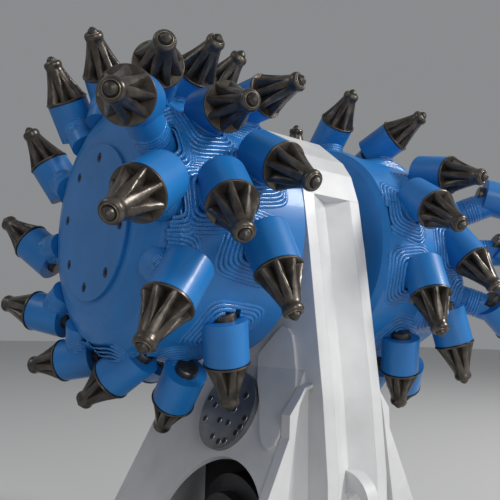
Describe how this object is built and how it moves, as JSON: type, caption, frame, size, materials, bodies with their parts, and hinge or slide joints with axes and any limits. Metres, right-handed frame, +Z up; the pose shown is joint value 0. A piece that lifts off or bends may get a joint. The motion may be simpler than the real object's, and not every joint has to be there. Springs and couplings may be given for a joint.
{
  "type": "excavator drum cutter",
  "caption": "Twin drum cutter head for an excavator: a pale housing on a bolted mounting plate between two blue drums with welded pick holders.",
  "frame": {"origin": "centre of the underside of the mounting plate", "axes": "+X along the drum axis, -Y to the front, +Z up, from the mounting plate to the drums"},
  "size_m": [1.0172, 0.684, 1.0448],
  "materials": {
    "blue_paint": "gloss blue paint, worn",
    "pale_paint": "pale grey paint",
    "dark_paint": "black paint",
    "pick_steel": "dark forged steel, glossy",
    "carbide": "ground carbide",
    "bare_steel": "machined steel"
  },
  "bodies": {
    "housing": {"casing_front_frame_left": "pale_paint", "casing_front_frame_right": "pale_paint", "casing_front_panel_left": "pale_paint", "casing_front_panel_right": "pale_paint", "casing_rear_wall": "pale_paint", "casing_wall_left": "pale_paint", "casing_wall_right": "pale_paint", "drive_motor": "dark_paint", "lifting_eye": "pale_paint", "motor_carrier": "dark_paint", "mounting_plate": "pale_paint", "neck_doubler_left": "pale_paint", "neck_doubler_right": "pale_paint", "neck_front_wall": "pale_paint", "neck_rear_wall": "pale_paint", "nose_roof": "pale_paint", "round_cover_left": "bare_steel", "round_cover_right": "bare_steel", "shaft_boss_left": "pale_paint", "shaft_boss_right": "pale_paint", "side_plate_left": "pale_paint", "side_plate_right": "pale_paint"},
    "rotor": {"carbide_tips_left": "carbide", "carbide_tips_right": "carbide", "drum_body_left": "blue_paint", "drum_body_right": "blue_paint", "drum_shaft": "bare_steel", "end_cover_left": "blue_paint", "end_cover_right": "blue_paint", "holders_left_inner": "blue_paint", "holders_left_middle": "blue_paint", "holders_left_outer": "blue_paint", "holders_right_inner": "blue_paint", "holders_right_middle": "blue_paint", "holders_right_outer": "blue_paint", "picks_left_inner": "pick_steel", "picks_left_middle": "pick_steel", "picks_left_outer": "pick_steel", "picks_right_inner": "pick_steel", "picks_right_middle": "pick_steel", "picks_right_outer": "pick_steel"}
  },
  "joints": [
    {"name": "drum_spin", "type": "hinge", "parent": "housing", "child": "rotor", "pos_m": [0, 0, 0.7], "axis": [1, 0, 0], "continuous": true}
  ]
}
